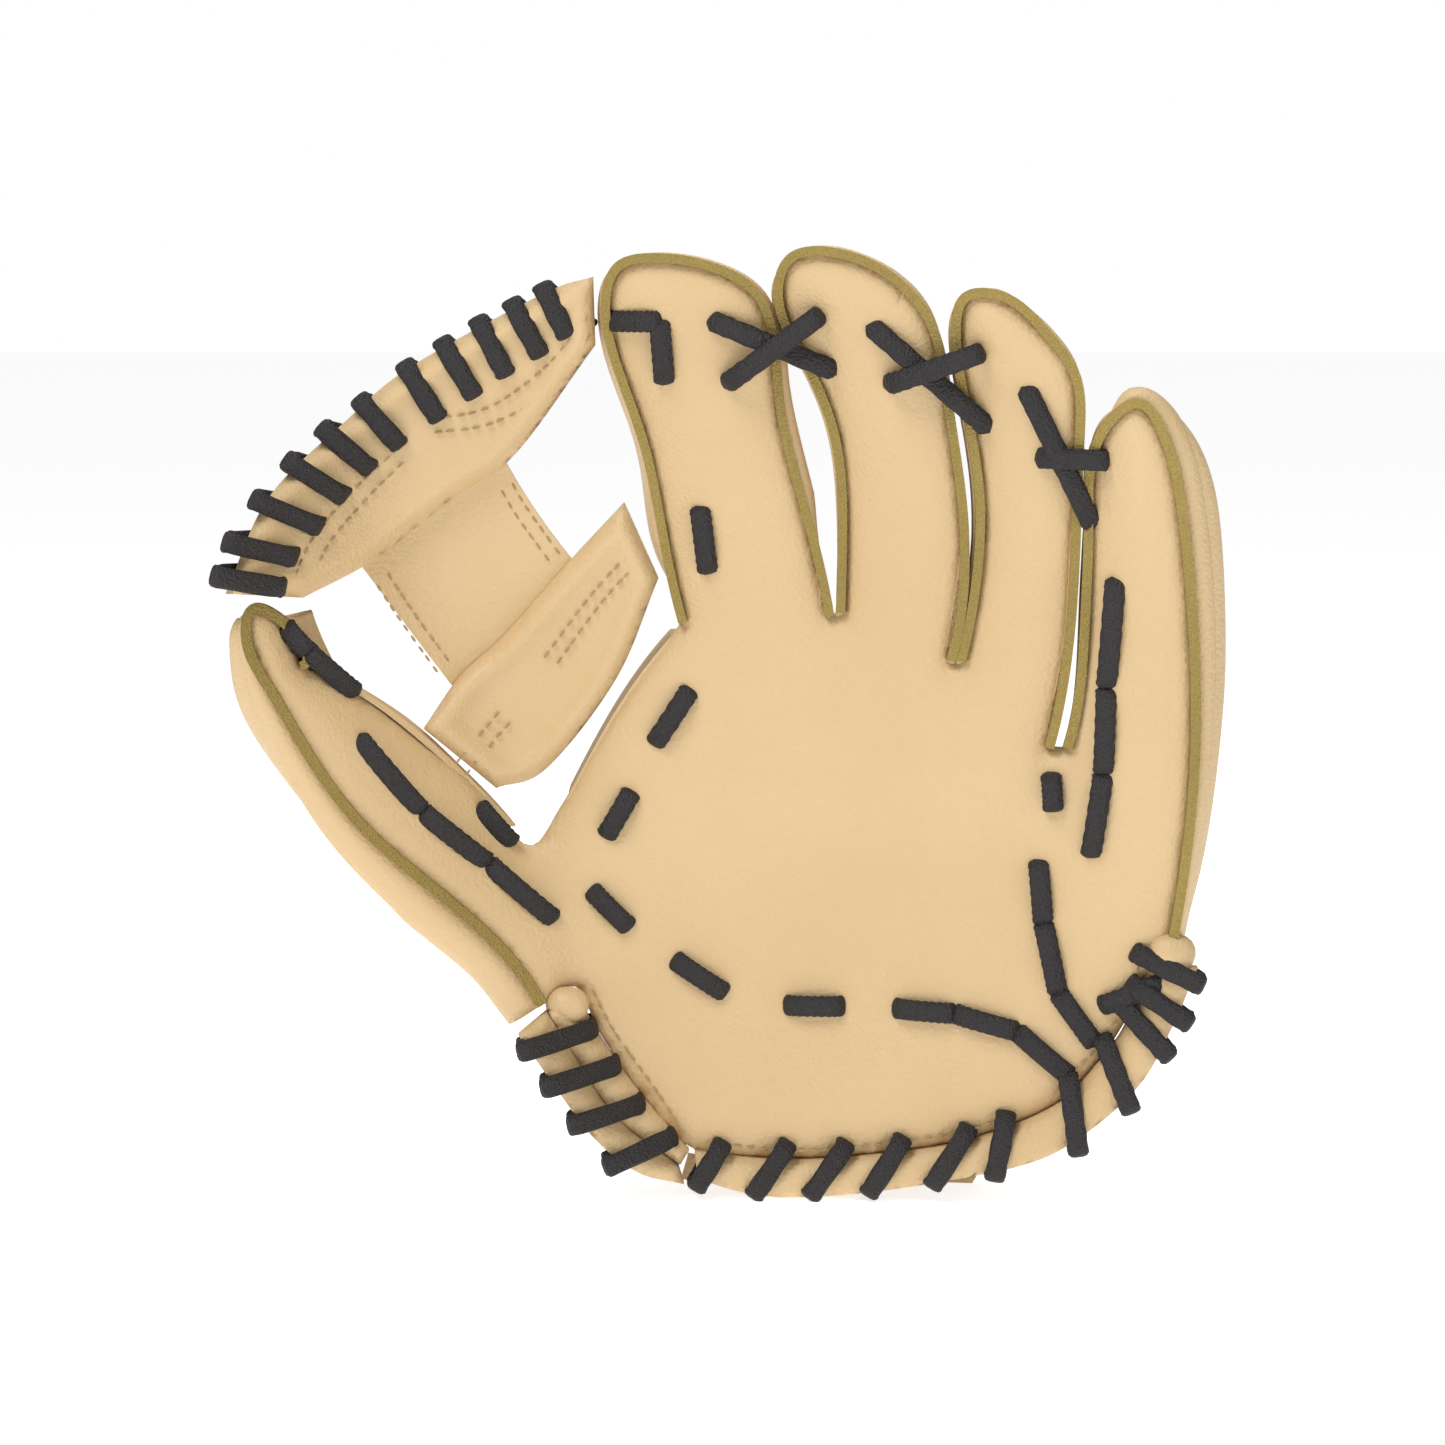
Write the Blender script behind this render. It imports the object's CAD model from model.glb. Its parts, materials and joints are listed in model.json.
"""Looks of a left-hand fielding glove: leather, piping, laces and stitching on the CAD frame."""
import json
import math

import bpy
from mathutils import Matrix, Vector
from mathutils.kdtree import KDTree


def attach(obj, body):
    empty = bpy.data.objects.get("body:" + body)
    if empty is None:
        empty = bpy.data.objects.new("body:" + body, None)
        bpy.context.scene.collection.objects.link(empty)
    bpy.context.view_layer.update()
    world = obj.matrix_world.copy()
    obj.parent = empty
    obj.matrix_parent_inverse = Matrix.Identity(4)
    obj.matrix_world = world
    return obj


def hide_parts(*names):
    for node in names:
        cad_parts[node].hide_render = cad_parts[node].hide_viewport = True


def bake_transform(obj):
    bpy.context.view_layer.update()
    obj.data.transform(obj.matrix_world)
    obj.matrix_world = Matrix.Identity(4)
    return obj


bl_info = {
    "name": "Fielding glove",
    "version": (1, 0, 0),
    "blender": (4, 5, 0),
    "location": "View3D > Sidebar > Glove",
    "description": "Builds the leather, laces and stitching of a fielding glove",
    "category": "Object",
}

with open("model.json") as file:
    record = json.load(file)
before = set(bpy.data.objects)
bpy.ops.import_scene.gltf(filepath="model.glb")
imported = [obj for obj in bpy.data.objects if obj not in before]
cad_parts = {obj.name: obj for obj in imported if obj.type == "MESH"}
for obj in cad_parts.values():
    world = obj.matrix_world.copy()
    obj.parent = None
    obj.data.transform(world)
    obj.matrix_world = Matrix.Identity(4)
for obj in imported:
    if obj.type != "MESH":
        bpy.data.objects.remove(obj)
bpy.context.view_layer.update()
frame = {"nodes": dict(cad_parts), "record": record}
MM = 0.001                 # the places below are in millimetres

# the dish that the front of the glove follows, as in the CAD model
POCKET_DEPTH = 17.1
FINGER_BOWL = 360.0
THUMB_RISE = 0.7
THUMB_TURN = 25.0
CURL = 1000.0
CURL_HEIGHT = 90.0

TARGET_HEIGHT = 0.1372     # what the camera and the lamps point at
CAMERA_DISTANCE = 1.6
CAMERA_LENS = 142.4
FLOOR_GLOW = 0.72
FLOOR_REACH = 6000

THUMB_LEAN = (0.937, 0.350)    # across the thumb fold, towards the fingers
SPLIT = 48                     # where the two halves of the palm leather meet


class GloveSettings(bpy.types.PropertyGroup):
    lace_width: bpy.props.FloatProperty(
        name="Lace width", description="Width of a flat lace", default=0.0058, unit="LENGTH")
    lace_thickness: bpy.props.FloatProperty(
        name="Lace thickness", description="Thickness of a flat lace", default=0.0024,
        unit="LENGTH")
    stitch_pitch: bpy.props.FloatProperty(
        name="Stitch pitch", description="Distance between stitches", default=0.0036,
        unit="LENGTH")
    leather_color: bpy.props.FloatVectorProperty(
        name="Leather", description="Colour of the shell leather", subtype="COLOR", size=3,
        default=(0.66, 0.485, 0.27))
    welt_color: bpy.props.FloatVectorProperty(
        name="Piping", description="Colour of the piping", subtype="COLOR", size=3,
        default=(0.42, 0.30, 0.075))
    lace_color: bpy.props.FloatVectorProperty(
        name="Laces", description="Colour of the laces", subtype="COLOR", size=3,
        default=(0.010, 0.008, 0.009))
    camera_height: bpy.props.FloatProperty(
        name="Camera elevation", description="Angle of the camera above the floor",
        default=math.radians(6), subtype="ANGLE")


def dish(x, z):
    """Depth in mm of the glove's front surface at a place seen from the front."""
    across = THUMB_LEAN[0] * (x + 6.0) + THUMB_LEAN[1] * (z - 10.0)
    depth = across ** 2 / (2 * FINGER_BOWL)
    if across < 0:
        depth += THUMB_RISE * abs(across) ** 3 / (across ** 2 + THUMB_TURN ** 2)
    return POCKET_DEPTH - depth - (z - CURL_HEIGHT) ** 2 / CURL


# ---- shader groups ----------------------------------------------------------------------
def group(name, inputs, outputs):
    """New shader group with these sockets, and its two end nodes."""
    tree = bpy.data.node_groups.new(name, "ShaderNodeTree")
    for label, kind in inputs:
        tree.interface.new_socket(label, in_out="INPUT", socket_type=kind)
    for label, kind in outputs:
        tree.interface.new_socket(label, in_out="OUTPUT", socket_type=kind)
    entry = tree.nodes.new("NodeGroupInput")
    end = tree.nodes.new("NodeGroupOutput")
    return tree, entry, end


def grain_group():
    """Leather grain: a colour that varies softly, and a normal of fine pores and creases."""
    tree, entry, end = group(
        "Leather grain",
        [("Color", "NodeSocketColor"), ("Deep", "NodeSocketColor"),
         ("Scale", "NodeSocketFloat"), ("Strength", "NodeSocketFloat")],
        [("Color", "NodeSocketColor"), ("Normal", "NodeSocketVector"),
         ("Roughness", "NodeSocketFloat")])
    nodes, links = tree.nodes, tree.links
    place = nodes.new("ShaderNodeTexCoord")
    pores = nodes.new("ShaderNodeTexVoronoi")
    links.new(place.outputs["Object"], pores.inputs["Vector"])
    links.new(entry.outputs["Scale"], pores.inputs["Scale"])
    folds = nodes.new("ShaderNodeTexNoise")
    folds.inputs["Scale"].default_value = 38
    folds.inputs["Detail"].default_value = 6
    links.new(place.outputs["Object"], folds.inputs["Vector"])
    stain = nodes.new("ShaderNodeTexNoise")
    stain.inputs["Scale"].default_value = 14
    stain.inputs["Detail"].default_value = 3
    links.new(place.outputs["Object"], stain.inputs["Vector"])
    mix = nodes.new("ShaderNodeMix")
    mix.data_type = "RGBA"
    links.new(stain.outputs["Fac"], mix.inputs["Factor"])
    links.new(entry.outputs["Color"], mix.inputs["A"])
    links.new(entry.outputs["Deep"], mix.inputs["B"])
    links.new(mix.outputs["Result"], end.inputs["Color"])
    height = nodes.new("ShaderNodeMath")
    height.operation = "MULTIPLY_ADD"
    links.new(folds.outputs["Fac"], height.inputs[0])
    height.inputs[1].default_value = 4.5
    links.new(pores.outputs["Distance"], height.inputs[2])
    bump = nodes.new("ShaderNodeBump")
    bump.inputs["Distance"].default_value = 0.0006
    links.new(height.outputs["Value"], bump.inputs["Height"])
    links.new(entry.outputs["Strength"], bump.inputs["Strength"])
    links.new(bump.outputs["Normal"], end.inputs["Normal"])
    rough = nodes.new("ShaderNodeMapRange")
    rough.inputs["To Min"].default_value = 0.42
    rough.inputs["To Max"].default_value = 0.62
    links.new(folds.outputs["Fac"], rough.inputs["Value"])
    links.new(rough.outputs["Result"], end.inputs["Roughness"])
    return tree


def leather(name, color, deep, scale=900.0, strength=0.35, roughness=None):
    """Grained material whose colour wanders between color and deep."""
    material = bpy.data.materials.new(name)
    material.use_nodes = True
    nodes, links = material.node_tree.nodes, material.node_tree.links
    shader = nodes["Principled BSDF"]
    grain = nodes.new("ShaderNodeGroup")
    grain.node_tree = bpy.data.node_groups.get("Leather grain") or grain_group()
    grain.inputs["Color"].default_value = (*color, 1)
    grain.inputs["Deep"].default_value = (*deep, 1)
    grain.inputs["Scale"].default_value = scale
    grain.inputs["Strength"].default_value = strength
    links.new(grain.outputs["Color"], shader.inputs["Base Color"])
    links.new(grain.outputs["Normal"], shader.inputs["Normal"])
    if roughness is None:
        links.new(grain.outputs["Roughness"], shader.inputs["Roughness"])
    else:
        shader.inputs["Roughness"].default_value = roughness
    return material


def cream():
    """Shell leather."""
    found = bpy.data.materials.get("Cream leather")
    color = bpy.context.scene.glove.leather_color
    return found or leather("Cream leather", color, [c * f for c, f in zip(color, (0.86, 0.8, 0.68))])


def gold():
    """Piping, rougher than the shell."""
    found = bpy.data.materials.get("Gold piping")
    color = bpy.context.scene.glove.welt_color
    return found or leather("Gold piping", color, [c * 0.55 for c in color], 1500, 0.9, 0.75)


def black():
    """Lace leather."""
    found = bpy.data.materials.get("Black lace")
    color = bpy.context.scene.glove.lace_color
    return found or leather("Black lace", color, [c * 1.7 for c in color], 1300, 0.8, 0.62)


def felt():
    """Lining and padding."""
    found = bpy.data.materials.get("Tan lining")
    return found or leather("Tan lining", (0.5, 0.36, 0.2), (0.4, 0.28, 0.16), 1100, 0.6, 0.8)


def thread():
    """Stitching thread."""
    found = bpy.data.materials.get("Tan thread")
    return found or leather("Tan thread", (0.52, 0.36, 0.16), (0.4, 0.27, 0.12), 2500, 0.6, 0.6)


# ---- meshes -----------------------------------------------------------------------------
def mesh_object(name, verts, faces, material, smooth=True):
    """New object from a mesh in millimetres."""
    mesh = bpy.data.meshes.new(name)
    mesh.from_pydata([tuple(c * MM for c in v) for v in verts], [], faces)
    mesh.materials.append(material)
    if smooth:
        mesh.shade_smooth()
    mesh.update()
    piece = bpy.data.objects.new(name, mesh)
    bpy.context.collection.objects.link(piece)
    return piece


def smooth_path(points, steps=7):
    """Catmull-Rom samples through a list of places."""
    points = [Vector(p) for p in points]
    ends = [points[0] * 2 - points[1]] + points + [points[-1] * 2 - points[-2]]
    samples = []
    for i in range(1, len(ends) - 2):
        a, b, c, d = ends[i - 1:i + 3]
        for k in range(steps):
            t = k / steps
            samples.append(0.5 * ((2 * b) + (c - a) * t + (2 * a - 5 * b + 4 * c - d) * t * t
                                  + (3 * b - a - 3 * c + d) * t ** 3))
    samples.append(points[-1])
    return samples


def ribbon(verts, faces, points, width, thickness, heading=None):
    """Adds a flat lace with rounded edges along a path; its width lies across the path."""
    samples = smooth_path(points)
    run = samples[-1] - samples[0]
    flat = Vector((run.x, 0, run.z))
    if flat.length < 1:
        flat = Vector((samples[len(samples) // 2] - samples[0]))
        flat.y = 0
    if heading:
        flat = Vector((heading[0], 0, heading[1]))
    side = Vector((-flat.z, 0, flat.x)).normalized()
    ring = [(-0.5, -0.16), (-0.4, -0.42), (-0.2, -0.52), (0.2, -0.52), (0.4, -0.42),
            (0.5, -0.16), (0.5, 0.16), (0.4, 0.42), (-0.4, 0.42), (-0.5, 0.16)]
    first = len(verts)
    for i, p in enumerate(samples):
        ahead = samples[min(i + 1, len(samples) - 1)] - samples[max(i - 1, 0)]
        normal = side.cross(ahead.normalized()).normalized()
        wobble = 1 + 0.05 * math.sin(i * 2.3 + p.x)
        if not heading:
            wobble *= min(1.0, 0.42 + 0.16 * min(i, len(samples) - 1 - i))
        for u, v in ring:
            verts.append(p + side * (u * width * wobble) + normal * (v * thickness))
    count = len(ring)
    for i in range(len(samples) - 1):
        a = first + i * count
        for k in range(count):
            n = (k + 1) % count
            faces.append((a + k, a + n, a + count + n, a + count + k))
    faces.append(tuple(range(first, first + count))[::-1])
    faces.append(tuple(range(len(verts) - count, len(verts))))


def at(x, z, offset):
    """Place that lies offset behind the dish."""
    return (x, dish(x, z) + offset, z)


def tree_of(places):
    """Search tree over places seen from the front."""
    tree = KDTree(len(places))
    for i, (x, z) in enumerate(places):
        tree.insert((x, 0, z), i)
    tree.balance()
    return tree


def palm_face():
    """Function that gives the depth of the palm leather's face, in mm."""
    palm = [THUMB_EDGE, FREE_EDGE, INDEX_EDGE, MIDDLE_EDGE, RING_EDGE, PINKY_EDGE, HEEL_EDGE]
    edges = tree_of([p for run in palm for p in flat_path(run)])
    return lambda x, z: dish(x, z) + crowned(edges.find((x, 0, z))[2])


def over(face, a, b, lift=0.0):
    """Front run of a lace from hole a to hole b of a face, dipping into both."""
    ya, yb = face(*a), face(*b)
    points = []
    for t, out in ((0, 1.4), (0.1, -1.2), (0.5, -1.9), (0.9, -1.2), (1, 1.4)):
        x, z = a[0] + (b[0] - a[0]) * t, a[1] + (b[1] - a[1]) * t
        straight = ya + (yb - ya) * t
        y = straight if lift else min(straight, face(x, z))
        points.append((x, y + out - (lift if 0 < t < 1 else 0), z))
    return points


def wrap(outer, hole, front, behind, slant):
    """One turn of a lace round an edge: out of a hole, round the edge and back to a hole."""
    back = (hole[0] + slant[0], hole[1] + slant[1])
    return [at(*hole, 0.8), at(hole[0] * 0.88 + outer[0] * 0.12, hole[1] * 0.88 + outer[1] * 0.12,
                               front + 0.4), at(*outer, front + 0.6),
            at(*outer, (front + behind) / 2), at(*outer, behind - 0.6), at(*back, behind - 0.2),
            at(*back, behind - 2.0)]


def lace_piece(name, node, body, paths, headings=None):
    """Flat laces that stand for one CAD lace; a body of "side fold" bends them over that fold."""
    settings = bpy.context.scene.glove
    verts, faces = [], []
    for path, heading in zip(paths, headings or [None] * len(paths)):
        ribbon(verts, faces, path, settings.lace_width / MM, settings.lace_thickness / MM,
               heading)
    piece = mesh_object(name, verts, faces, black())
    if body == "side fold":
        across_fold(piece)
    else:
        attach(piece, body)
    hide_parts(node)


# ---- leather sheets that follow the dish ------------------------------------------------
INDEX_EDGE = [(-11.2, 164.7), (-16, 186), (-22, 216), (-30, 240), (-32.2, 255), (-28.6, 265),
              (-18, 267.4), (-3, 265), (9, 258), (14, 245), (16, 226), (23, 197), (30, 167)]
MIDDLE_EDGE = [(33, 168), (33.3, 194), (30.5, 220), (21, 242), (15.2, 257), (18.5, 267.5),
               (31, 269), (46, 262.5), (56, 251), (61.5, 229), (66, 200), (67, 185), (63.6, 155)]
RING_EDGE = [(66.4, 155), (70.4, 180), (70.6, 203), (65.8, 230), (63.4, 246), (66, 257.5),
             (75, 257.8), (87, 248), (95, 237), (97, 220), (96.8, 190), (95.6, 160), (91, 131)]
PINKY_EDGE = [(95.9, 131), (99.8, 165), (99.9, 200), (103.6, 222), (112, 229), (119.5, 219),
              (124.5, 200), (128.8, 165), (130.3, 130), (128.5, 100), (125.3, 76)]
THUMB_EDGE = [(-50.8, 56.4), (-62, 72.6), (-80, 90.6), (-100, 110.3), (-114, 130.7),
              (-124.7, 150.2), (-130.5, 166), (-129, 171.5), (-123.5, 169.5), (-116.5, 155)]
FREE_EDGE = [(-116.5, 155), (-101.3, 145.5), (-79, 126.7), (-68, 116.5), (-55.2, 100.1),
             (-46, 111), (-34, 132.5), (-23.7, 148.7), (-11.2, 164.7)]
HEEL_EDGE = [(125.3, 76), (112.5, 52), (106, 42), (93.3, 28.5), (68, 17.5), (37, 12.4),
             (14, 11.4), (-8, 13.5), (-22.5, 29), (-34.8, 46.5), (-41.5, 60), (-50.8, 56.4)]
ROLL_OUTLINE = [[(-35.2, 243), (-35.6, 262)],
                [(-35.6, 262), (-50, 257), (-87, 236.5), (-105, 221.5), (-125, 201.5),
                 (-136, 176)], [(-136, 176), (-116, 173.5)],
                [(-116, 173.5), (-97, 183), (-75, 200), (-58, 212), (-35.2, 243)]]
HEEL_OUTLINE = [[(-8, 13.5), (14, 11.2), (37, 12.2), (68, 17.3), (93.5, 28.3), (106, 41.8),
                 (113, 52), (119.5, 70)], [(119.5, 70), (132.5, 70)],
                [(132.5, 70), (126, 53), (117, 35.5), (101, 20), (84, 11), (50, 3.6), (25, 0.8),
                 (8, 1.4), (-7, 5.6)], [(-7, 5.6), (-8, 13.5)]]
THUMB_ROLLS = (
    ("thumb_heel_inner", "thumb_heel_binding",
     [(-41.8, 59.8), (-35, 46.3), (-22.7, 28.8), (-9.5, 13.5)],
     [(-49.2, 54), (-41.2, 41), (-29.7, 23.5), (-12, 9.6)]),
    ("thumb_heel_outer", "thumb_heel_roll",
     [(-49.8, 54.4), (-41.8, 41.4), (-30.3, 23.9), (-12.5, 9.2)],
     [(-57.5, 49), (-48.7, 36), (-37, 19.5), (-24, 8.2), (-11, 4.2)]),
)
BAR_OUTLINE = [[(-84, 135), (-74, 149), (-62, 160), (-44.5, 180), (-27.5, 198.5)],
               [(-27.5, 198.5), (-18, 177)], [(-18, 177), (-30, 148), (-50, 122), (-64, 117)],
               [(-64, 117), (-84, 135)]]


def flat_path(points, steps=10):
    """Places along a curve seen from the front, or along a straight line of two points."""
    if len(points) == 2:
        a, b = points
        count = max(2, int(math.dist(a, b) / 2))
        return [(a[0] + (b[0] - a[0]) * k / count, a[1] + (b[1] - a[1]) * k / count)
                for k in range(count)]
    return [(p.x, p.z) for p in smooth_path([(x, 0, z) for x, z in points], steps)][:-1]


def inside(x, z, polygon):
    """Whether a place lies within a closed outline."""
    hit = False
    for (x0, z0), (x1, z1) in zip(polygon, polygon[1:] + polygon[:1]):
        if (z0 > z) != (z1 > z) and x < (x1 - x0) * (z - z0) / (z1 - z0) + x0:
            hit = not hit
    return hit


def leather_sheet(name, runs, profile, keep, thickness=2.0, pitch=2.0):
    """Sheet inside an outline, whose depth behind the dish is profile(distance to the edge)."""
    outline = [p for run in runs for p in flat_path(run)]
    tree = tree_of(outline)
    low_x, high_x = min(p[0] for p in outline), max(p[0] for p in outline)
    low_z, high_z = min(p[1] for p in outline), max(p[1] for p in outline)
    cells, corners = [], {}
    for i in range(int(low_x / pitch) - 1, int(high_x / pitch) + 1):
        for k in range(int(low_z / pitch) - 1, int(high_z / pitch) + 1):
            x, z = (i + 0.5) * pitch, (k + 0.5) * pitch
            if keep(x) and inside(x, z, outline):
                square = [(i, k), (i + 1, k), (i + 1, k + 1), (i, k + 1)]
                cells.append(square)
                for corner in square:
                    corners[corner] = corners.get(corner, 0) + 1
    verts, number = [], {}
    for (i, k), uses in corners.items():
        place = Vector((i * pitch, 0, k * pitch))
        near, _, away = tree.find(place)
        if uses < 4 and away < pitch * 1.5:
            place, away = near.copy(), 0.0
        number[(i, k)] = len(verts)
        verts.append((place.x, dish(place.x, place.z) + profile(away), place.z))
    count = len(verts)
    verts += [(x, y + thickness, z) for x, y, z in verts]
    faces = []
    edges = {}
    for square in cells:
        ring = [number[c] for c in square]
        faces.append(tuple(ring))
        faces.append(tuple(n + count for n in reversed(ring)))
        for a, b in zip(ring, ring[1:] + ring[:1]):
            edges[(a, b)] = True
    for a, b in edges:
        on_split = max(abs(verts[a][0] - SPLIT), abs(verts[b][0] - SPLIT)) < 0.01
        if (b, a) not in edges and not on_split:
            faces.append((b, a, a + count, b + count))
    piece = mesh_object(name, verts, faces, cream())
    return piece


def crowned(away):
    """The palm leather dips into the piping and is full between."""
    return 3.2 * math.exp(-away / 3.0) - 3.6 * (1 - math.exp(-away / 11.0))


def rolled(away):
    """A web strap, folded over at its edges."""
    return 3.4 * math.exp(-away / 1.6) - 2.2 * math.exp(-(away - 4) ** 2 / 9) - 0.8


def padded_roll(away):
    """A rolled heel edge, thickest along its middle."""
    return 3.6 * math.exp(-away / 1.8) - 2.9


def across_fold(piece):
    """Bends a piece over a fold, from the low side's body to the high side's."""
    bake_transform(piece)


def side_wall(name, body, path, bulges, depth, inward=0.0):
    """Outer leather of a stall, from its piping round to the back."""
    samples = flat_path(path, 8)
    verts, faces = [], []
    count = 13
    for i, (x, z) in enumerate(samples):
        a = samples[max(i - 1, 0)]
        b = samples[min(i + 1, len(samples) - 1)]
        run = Vector((b[0] - a[0], b[1] - a[1])).normalized()
        out = Vector((-run.y, run.x))
        t = i / (len(samples) - 1) * (len(bulges) - 1)
        k = min(int(t), len(bulges) - 2)
        bulge = bulges[k] + (bulges[k + 1] - bulges[k]) * (t - k)
        for step in range(count):
            angle = math.pi * step / (count - 1)
            reach = bulge * math.sin(angle) ** 0.8 - inward * (1 - math.cos(angle)) / 2
            verts.append((x + out.x * reach,
                          dish(x, z) + 0.6 + depth * (1 - math.cos(angle)) / 2,
                          z + out.y * reach))
    for i in range(len(samples) - 1):
        for step in range(count - 1):
            a = i * count + step
            faces.append((a, a + count, a + count + 1, a + 1))
    wall = mesh_object(name, verts, faces, cream())
    solid = wall.modifiers.new("Thickness", "SOLIDIFY")
    solid.thickness = 0.0016
    solid.offset = -1
    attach(wall, body)


PALM_LACE = [(-25.8, 115.9), (-33, 103.5), (-30, 84), (-24.5, 76.5), (-13.6, 68.3),
             (0.7, 59), (17.9, 55.7), (34.1, 55.7)]
# runs on the front of the leather: each pair of places is one visible run
CHAINS = {
    "palm_lace": ("palm", [PALM_LACE[0:2], [(-37, 88), (-26.5, 77.5)], PALM_LACE[4:6],
                           PALM_LACE[6:8]]),
    "heel_cross_lace": ("side fold", [(48.6, 55.5), (65.3, 54.5), (82.8, 50), (97.5, 37.5)]),
    "index_lace": ("palm", [(-6.3, 197.5), (-4.1, 179.4)]),
    "index_palm_lace": ("palm", [(-9.2, 145.5), (-19.2, 130)]),
    "ring_palm_lace": ("side fold", [(88.2, 98.7), (89.8, 81.4), (94.1, 61.4), (104.5, 47)]),
    "index_tip_lace": ("palm", [(-31, 249.8), (-17.3, 249.9), (-16, 233)]),
    "index_middle_lace": ("palm", [(-3.5, 250.5), (31, 236.5)]),
    "index_middle_cross_lace": ("palm", [(0.7, 232.5), (27, 252.5)]),
    "middle_ring_lace": ("palm", [(40, 249.5), (73, 221)]),
    "middle_ring_cross_lace": ("palm", [(44.8, 233), (70.5, 242.5)]),
    "thumb_lace": ("thumb", [(-101, 134.5), (-84, 113), (-66, 97), (-47.5, 80)]),
    "thumb_tip_lace": ("thumb", [(-120.5, 166), (-114.5, 159), (-102, 146.5)]),
    "thumb_web_lace": ("thumb", [(-68.5, 112.5), (-59.5, 101.5)]),
    "pinky_lace": ("pinky", [(107.5, 180), (105.9, 149), (105.6, 124.6), (102.5, 101)]),
    "pinky_tip_lace": ("side fold", [[(82, 233), (101.5, 194)], [(86, 213.5), (104.5, 213)],
                                     [(91.4, 123.4), (92.1, 114)]]),
    "pinky_heel_lace": ("pinky", [(106, 58), (124, 66)]),
}
WRAPS = {
    "heel_lace": ("palm", -3.8, 6.3, (0, 0), [
        ((-7, 4.5), (0, 16)), ((9.5, 2.6), (18.5, 16)), ((25.5, 2.6), (35, 16.2)),
        ((42, 3.6), (51, 18)), ((60, 6.3), (69.5, 21.6)), ((77, 9), (80, 26))]),
    "pinky_edge_lace": ("pinky", -3.8, 6.3, (0, 0), [
        ((100, 17.3), (97, 38)), ((114, 30), (106.5, 49)), ((124, 45.5), (111.5, 59)),
        ((129, 55), (114, 65)), ((132, 66), (115, 74))]),
    "thumb_heel_lace": ("thumb", -3.8, 8.9, (0, 0), [
        ((-55.5, 45), (-36.5, 49)), ((-49, 34.5), (-30, 38.5)), ((-41.5, 23.5), (-23, 27.5)),
        ((-31.5, 11.5), (-14, 18))]),
    "web_top_lace_thumb": ("thumb", -3.6, 6.6, (5, 4), [
        ((-137.5, 181), (-121, 177)), ((-134.5, 190), (-118, 185)),
        ((-127.5, 201), (-111.5, 193)), ((-119, 211), (-105, 201)),
        ((-110, 219.5), (-98, 208.5)), ((-100, 227), (-90, 215))]),
    "web_top_lace_index": ("palm", -2.6, 7.5, (5, 3), [
        ((-87.5, 236.5), (-79, 222.5)), ((-77, 243), (-69, 229)), ((-67, 249), (-60, 235)),
        ((-57.5, 254), (-50.5, 240.5)), ((-49, 258.5), (-43, 246))]),
}
STITCHES = {
    "web_roll_stitch_index": ("palm", -1.6, [
        [(-84, 222), (-66, 225), (-50, 236), (-38, 250)],
        [(-83, 218), (-64, 221), (-48, 231), (-37, 245)]]),
    "web_roll_stitch_thumb": ("thumb", -1.6, [
        [(-88, 216), (-101, 204), (-113, 190), (-119, 177)],
        [(-87, 212), (-98, 201), (-109, 188), (-115, 176)]]),
    "web_bar_stitch_index": ("palm", -1.6, [
        [(-21.5, 184), (-34, 170), (-47, 152)], [(-24.5, 186), (-37, 172), (-50, 154.5)]]),
    "web_bar_stitch_thumb": ("thumb", -1.6, [
        [(-58, 138), (-65, 130), (-72, 122)], [(-61, 141), (-68, 133), (-75, 125)]]),
    "web_post_stitch": ("palm", 2.9, [
        [(-98, 178), (-90, 165), (-80, 150)], [(-95, 181), (-87, 168), (-77, 153)],
        [(-60, 206), (-55, 197), (-46, 184)], [(-63, 204), (-58, 195), (-49, 182)]]),
    "heel_stitch": ("palm", -0.9, [
        [(-3, 16.5), (14, 14), (37, 15), (66, 20), (84, 26)]]),
    "pinky_heel_stitch": ("pinky", -0.9, [[(92, 31), (104, 44), (112, 56), (117, 72)]]),
    "thumb_heel_stitch": ("thumb", -0.9, [[(-38, 62), (-31, 48), (-19, 31), (-12, 20)]]),
}


def stitch_piece(name, body, offset, rows):
    """Short raised threads in rows along paths on the leather."""
    pitch = bpy.context.scene.glove.stitch_pitch / MM
    verts, faces = [], []
    for row in rows:
        samples = smooth_path([at(x, z, offset) for x, z in row], 24)
        travelled, due = 0.0, pitch
        for a, b in zip(samples, samples[1:]):
            travelled += (b - a).length
            if travelled < due:
                continue
            due += pitch
            along = (b - a).normalized()
            side = along.cross(Vector((0, 1, 0))).normalized()
            first = len(verts)
            for t, w in ((-1.2, 0.12), (-0.6, 0.36), (0.6, 0.36), (1.2, 0.12)):
                middle = b + along * t
                sink = 0.2 if abs(t) > 1 else -0.25
                verts += [middle + side * w + Vector((0, 0.25, 0)), middle + Vector((0, sink, 0)),
                          middle - side * w + Vector((0, 0.25, 0))]
            for k in range(3):
                o = first + 3 * k
                faces += [(o, o + 1, o + 4, o + 3), (o + 1, o + 2, o + 5, o + 4)]
    piece = mesh_object(name, verts, faces, thread())
    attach(piece, body)


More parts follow.
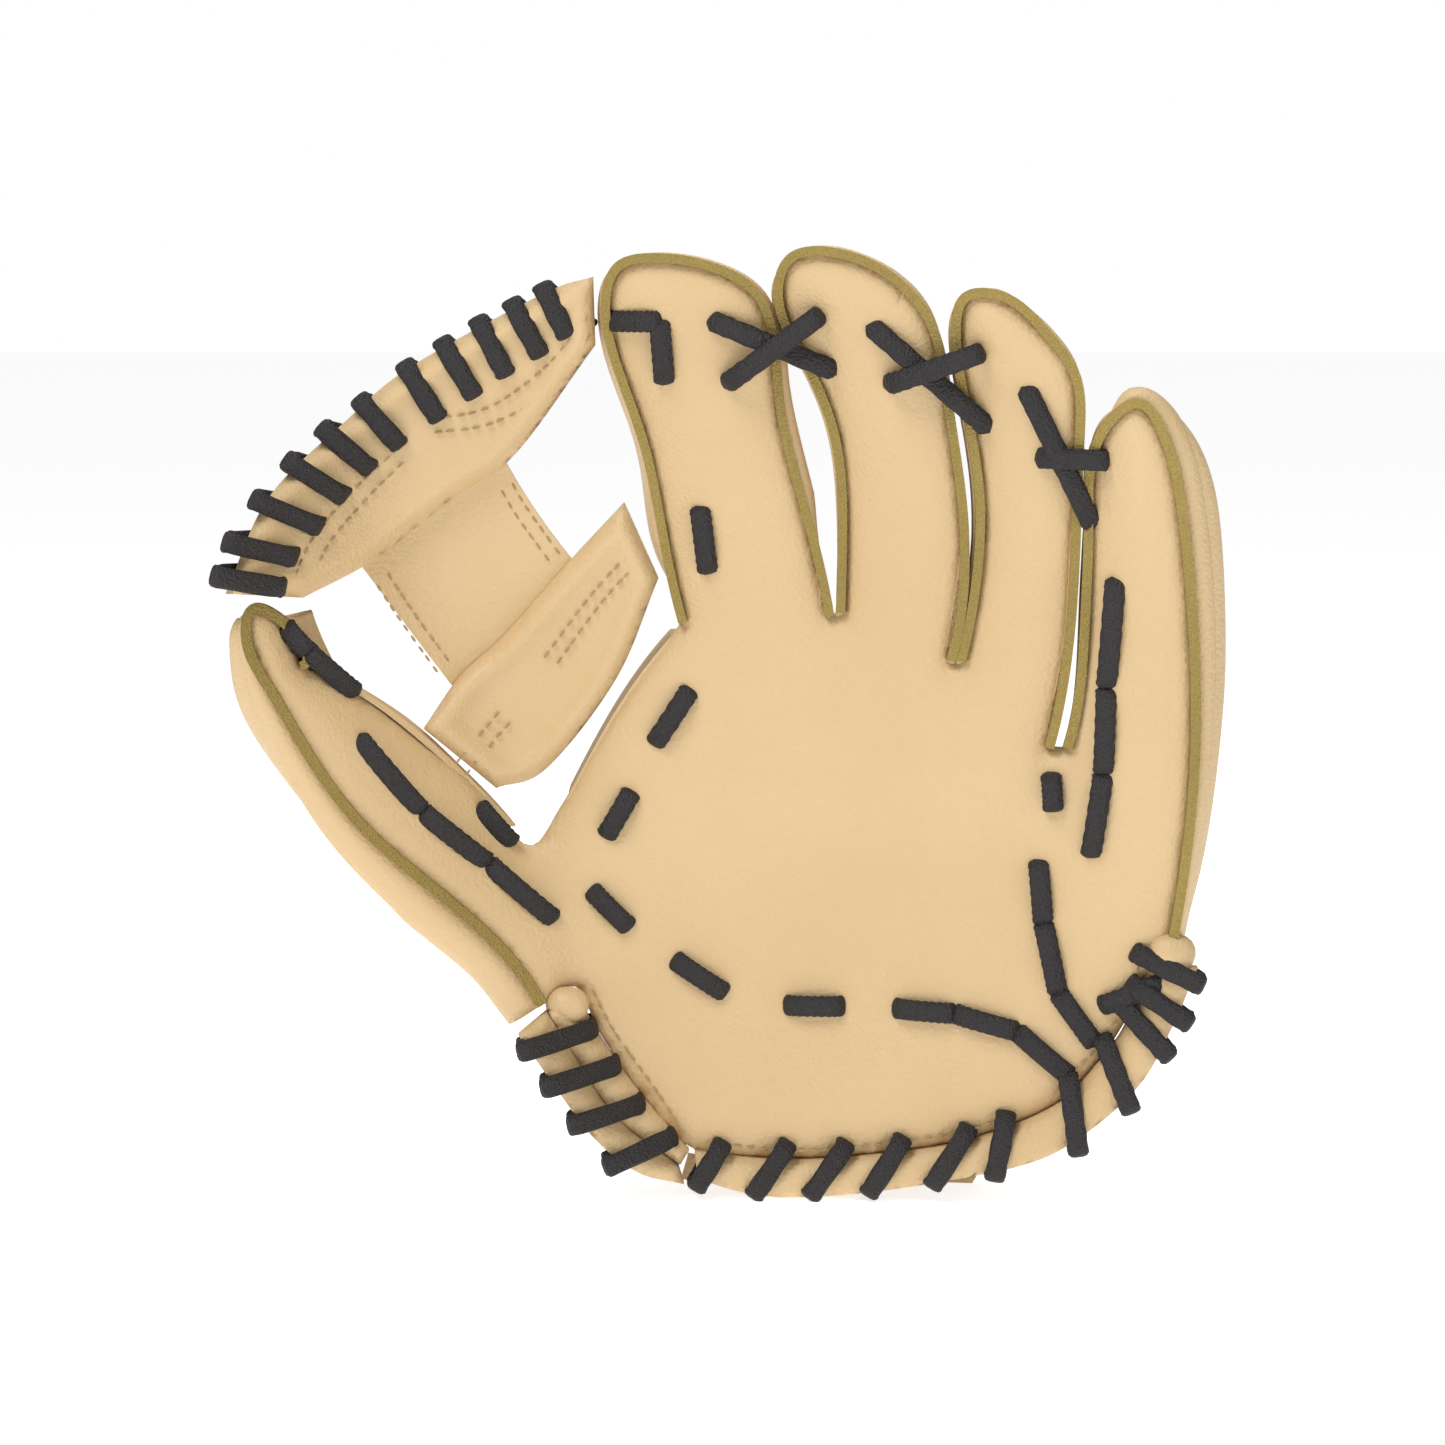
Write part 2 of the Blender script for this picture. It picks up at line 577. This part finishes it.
# ---- operators --------------------------------------------------------------------------
class GLOVE_OT_stage(bpy.types.Operator):
    """Camera, lights, background and floor"""
    bl_idname = "glove.stage"
    bl_label = "Stage"

    def execute(self, context):
        elevation = context.scene.glove.camera_height
        target = Vector((0, 0, TARGET_HEIGHT))
        data = bpy.data.cameras.new("Camera")
        data.sensor_width = 36
        data.lens = CAMERA_LENS
        camera = bpy.data.objects.new("Camera", data)
        context.collection.objects.link(camera)
        away = Vector((0, -math.cos(elevation), math.sin(elevation)))
        camera.location = target + CAMERA_DISTANCE * away
        camera.rotation_euler = (target - camera.location).to_track_quat("-Z", "Y").to_euler()
        context.scene.camera = camera
        for name, place, size, power in (
                ("Key light", (-0.55, -0.75, 1.3), 0.7, 15),
                ("Fill light", (1.0, -1.1, 0.6), 1.2, 3.5),
                ("Top light", (0.1, 0.4, 1.3), 1.0, 6)):
            lamp = bpy.data.lights.new(name, "AREA")
            lamp.size = size
            lamp.energy = power
            light = bpy.data.objects.new(name, lamp)
            context.collection.objects.link(light)
            light.location = place
            light.rotation_euler = (target - light.location).to_track_quat("-Z", "Y").to_euler()
        world = bpy.data.worlds.new("Studio")
        context.scene.world = world
        world.use_nodes = True
        nodes, links = world.node_tree.nodes, world.node_tree.links
        soft = nodes["Background"]
        soft.inputs["Color"].default_value = (1, 1, 1, 1)
        soft.inputs["Strength"].default_value = 0.24
        plain = nodes.new("ShaderNodeBackground")
        plain.inputs["Strength"].default_value = 1.0
        ray = nodes.new("ShaderNodeLightPath")
        choose = nodes.new("ShaderNodeMixShader")
        links.new(ray.outputs["Is Camera Ray"], choose.inputs["Fac"])
        links.new(soft.outputs["Background"], choose.inputs[1])
        links.new(plain.outputs["Background"], choose.inputs[2])
        links.new(choose.outputs["Shader"], nodes["World Output"].inputs["Surface"])
        plain.inputs["Color"].default_value = (1, 1, 1, 1)
        context.scene.view_settings.view_transform = "Standard"
        paper = bpy.data.materials.new("Paper floor")
        paper.use_nodes = True
        surface = paper.node_tree.nodes["Principled BSDF"]
        surface.inputs["Base Color"].default_value = (0.97, 0.97, 0.97, 1)
        surface.inputs["Roughness"].default_value = 0.9
        surface.inputs["Emission Color"].default_value = (1, 1, 1, 1)
        surface.inputs["Emission Strength"].default_value = FLOOR_GLOW
        r = FLOOR_REACH
        floor = mesh_object("Floor", [(-r, -r, 0), (r, -r, 0), (r, r, 0), (-r, r, 0)],
                            [(0, 1, 2, 3)], paper, smooth=False)
        return {"FINISHED"}


class GLOVE_OT_shell(bpy.types.Operator):
    """Finishes of the leather, piping, padding and lining"""
    bl_idname = "glove.shell"
    bl_label = "Shell finishes"

    def execute(self, context):
        makers = {"leather_cream": cream, "welt_gold": gold, "pad_felt": felt, "lining": felt,
                  "lace_black": black}
        for part in frame["record"]["subparts"]:
            node = frame["nodes"][part["node"]]
            node.data.materials.clear()
            node.data.materials.append(makers[part["material_slot"]]())
        return {"FINISHED"}


class GLOVE_OT_leather(bpy.types.Operator):
    """Palm leather and web straps that bend over the folds, and the outer walls"""
    bl_idname = "glove.leather"
    bl_label = "Leather"

    def cap(self, name, body, place, size):
        """Rounded leather end of the padding."""
        x, z = place
        verts, faces = [], []
        for ring in range(9):
            turn = math.pi * (ring + 0.02) / 8.04
            for k in range(20):
                angle = math.tau * k / 20
                reach = size * math.sin(turn) * (1 + 0.05 * math.sin(3 * angle))
                verts.append((x + reach * math.cos(angle), dish(x, z) + 1 - 5 * math.cos(turn),
                              z + reach * math.sin(angle)))
        for ring in range(8):
            for k in range(20):
                n = (k + 1) % 20
                a = ring * 20
                faces.append((a + k, a + n, a + 20 + n, a + 20 + k))
        piece = mesh_object(name, verts, faces, cream())
        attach(piece, body)

    def execute(self, context):
        runs = [THUMB_EDGE, FREE_EDGE, INDEX_EDGE, [INDEX_EDGE[-1], MIDDLE_EDGE[0]], MIDDLE_EDGE,
                [MIDDLE_EDGE[-1], RING_EDGE[0]], RING_EDGE, [RING_EDGE[-1], PINKY_EDGE[0]],
                PINKY_EDGE, HEEL_EDGE]
        left = leather_sheet("palm_and_thumb_leather", runs, crowned, lambda x: x < SPLIT)
        across_fold(left)
        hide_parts("palm_leather", "thumb_leather")
        right = leather_sheet("palm_and_pinky_leather", runs, crowned, lambda x: x > SPLIT)
        across_fold(right)
        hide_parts("pinky_leather")
        roll = leather_sheet("web_top_roll", ROLL_OUTLINE, rolled, lambda x: True, 3.0, 1.6)
        across_fold(roll)
        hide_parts("web_top_roll_index", "web_top_roll_thumb")
        bar = leather_sheet("web_lower_bar", BAR_OUTLINE, rolled, lambda x: True, 3.0, 1.6)
        across_fold(bar)
        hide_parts("web_lower_bar_index", "web_lower_bar_thumb")
        roll = leather_sheet("heel_roll", HEEL_OUTLINE, padded_roll, lambda x: True, 4.5, 1.4)
        across_fold(roll)
        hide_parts("heel_binding", "pinky_heel_binding")
        for name, node, low, high in THUMB_ROLLS:
            edge = [low, [low[-1], high[-1]], high[::-1], [high[0], low[0]]]
            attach(leather_sheet(name, edge, padded_roll, lambda x: True, 4.5, 1.2), "thumb")
            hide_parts(node)
        for name, body, place, size in (("thumb_end_cap", "thumb", (-44, 55), 6.2),
                                        ("pinky_end_cap", "pinky", (125.5, 73), 6.6)):
            self.cap(name, body, place, size)
        for name, path, bulges in (
                ("index_outer_wall", INDEX_EDGE[5:], [3, 4, 4.5, 5, 6, 7, 7, 1]),
                ("middle_outer_wall", MIDDLE_EDGE[4:], [2, 3.5, 4.5, 5, 4.5, 3.5, 2.5, 2, 1]),
                ("ring_outer_wall", RING_EDGE[5:], [3, 4, 5, 4, 2.2, 1.8, 1.5, 1])):
            side_wall(name, "palm", path, bulges, 26, 12)
        side_wall("pinky_outer_wall", "pinky", PINKY_EDGE[3:], [3, 8, 11, 12, 12, 11, 9, 7, 6],
                  30, 14)
        side_wall("thumb_outer_wall", "thumb", THUMB_EDGE[:8], [18, 19, 20, 17, 15, 12, 7, 3],
                  30, 16)
        return {"FINISHED"}


class GLOVE_OT_laces(bpy.types.Operator):
    """Flat laces through the palm, fingers, heel and web"""
    bl_idname = "glove.laces"
    bl_label = "Laces"

    def execute(self, context):
        face = palm_face()
        for node, (body, runs) in CHAINS.items():
            lift = 0.0
            if "middle" in node or node == "pinky_tip_lace":
                lift = 3.0 if "cross" in node else 0.6
            pairs = runs if isinstance(runs[0], list) else list(zip(runs, runs[1:]))
            lace_piece(node + "_flat", node, body, [over(face, a, b, lift) for a, b in pairs])
        for node, (body, front, behind, slant, wraps) in WRAPS.items():
            paths = [wrap(outer, hole, front, behind, slant) for outer, hole in wraps]
            headings = [(outer[0] - hole[0], outer[1] - hole[1]) for outer, hole in wraps]
            lace_piece(node + "_flat", node, body, paths, headings)
        return {"FINISHED"}


class GLOVE_OT_stitches(bpy.types.Operator):
    """Rows of thread on the web and heel"""
    bl_idname = "glove.stitches"
    bl_label = "Stitches"

    def execute(self, context):
        for name, (body, offset, rows) in STITCHES.items():
            stitch_piece(name, body, offset, rows)
        return {"FINISHED"}


class GLOVE_PT_panel(bpy.types.Panel):
    bl_label = "Glove"
    bl_idname = "GLOVE_PT_panel"
    bl_space_type = "VIEW_3D"
    bl_region_type = "UI"
    bl_category = "Glove"

    def draw(self, context):
        for name in GloveSettings.__annotations__:
            self.layout.prop(context.scene.glove, name)
        for operator in OPERATORS:
            self.layout.operator(operator.bl_idname)


OPERATORS = (GLOVE_OT_stage, GLOVE_OT_shell, GLOVE_OT_leather, GLOVE_OT_laces,
             GLOVE_OT_stitches)


def register():
    for cls in (GloveSettings, *OPERATORS, GLOVE_PT_panel):
        bpy.utils.register_class(cls)
    bpy.types.Scene.glove = bpy.props.PointerProperty(type=GloveSettings)


def unregister():
    del bpy.types.Scene.glove
    for cls in (GLOVE_PT_panel, *reversed(OPERATORS), GloveSettings):
        bpy.utils.unregister_class(cls)


def main():
    register()
    bpy.ops.glove.stage()
    bpy.ops.glove.shell()
    bpy.ops.glove.leather()
    bpy.ops.glove.laces()
    bpy.ops.glove.stitches()


if __name__ == "__main__":
    main()
